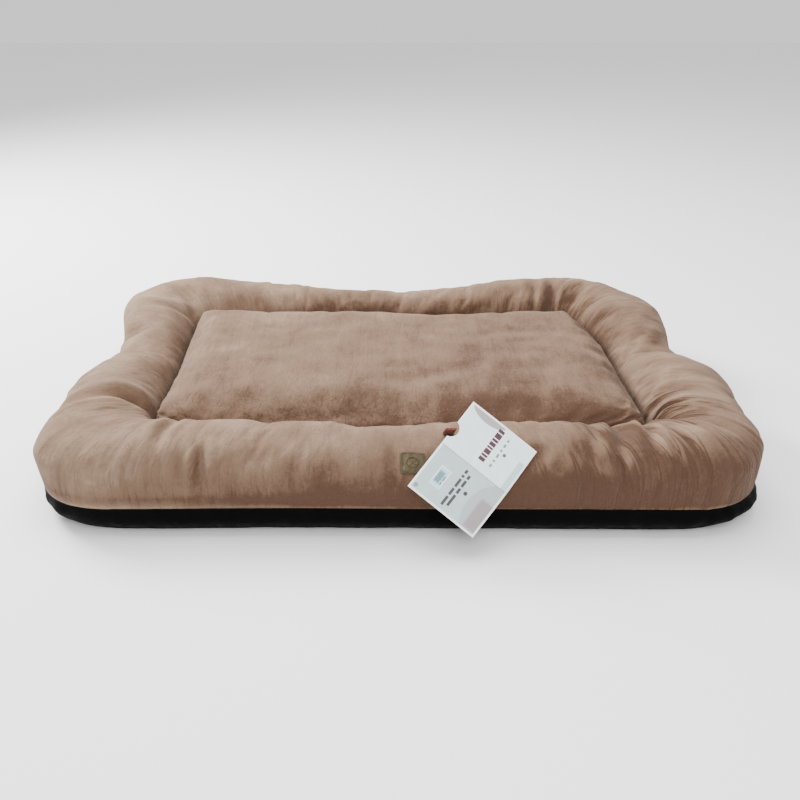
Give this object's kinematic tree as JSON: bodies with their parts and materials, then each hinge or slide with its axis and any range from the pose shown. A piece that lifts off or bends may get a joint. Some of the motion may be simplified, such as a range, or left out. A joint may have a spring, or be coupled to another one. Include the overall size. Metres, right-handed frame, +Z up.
{
  "type": "pet cushion bed",
  "caption": "Stuffed plush pet bed with a raised rim, round corner lobes, a sewn sleeping pad, a dark woven base and a folded card hang tag.",
  "frame": {"origin": "on the floor under the middle of the bed, in the plane of the base fabric's underside", "axes": "+X along the long side to the right, +Y from the front edge to the back edge, +Z up"},
  "size_m": [0.9, 0.6566, 0.1487],
  "materials": {
    "plush": "matte",
    "base_fabric": "matte",
    "fibre": "matte",
    "thread": "matte",
    "patch_leather": "satin",
    "label_satin": "satin",
    "ribbon": "satin",
    "card": "satin",
    "sticker_paper": "satin"
  },
  "bodies": {
    "bed": {"top_cover": "plush", "base_cover": "base_fabric", "rim_filling_front": "fibre", "rim_filling_back": "fibre", "rim_filling_left": "fibre", "rim_filling_right": "fibre", "lobe_filling_front_left": "fibre", "lobe_filling_front_right": "fibre", "lobe_filling_back_left": "fibre", "lobe_filling_back_right": "fibre", "centre_filling": "fibre", "perimeter_seam_allowance": "base_fabric", "channel_stitching": "thread", "patch_label": "patch_leather", "patch_stitching": "thread", "care_label": "label_satin", "tag_ribbon": "ribbon"},
    "tag_upper": {"tag_upper_panel": "card"},
    "tag_lower": {"tag_lower_panel": "card", "price_sticker": "sticker_paper"}
  },
  "joints": [
    {"name": "tag_swing", "type": "hinge", "parent": "bed", "child": "tag_upper", "pos_m": [0.0649, -0.2785, 0.1277], "axis": [-0.9903, -0.1392, 0], "range_deg": [0, 75]},
    {"name": "tag_fold", "type": "hinge", "parent": "tag_upper", "child": "tag_lower", "pos_m": [0.089, -0.3055, 0.092], "axis": [-0.7827, 0.314, 0.5374], "range_deg": [0, 170]}
  ]
}
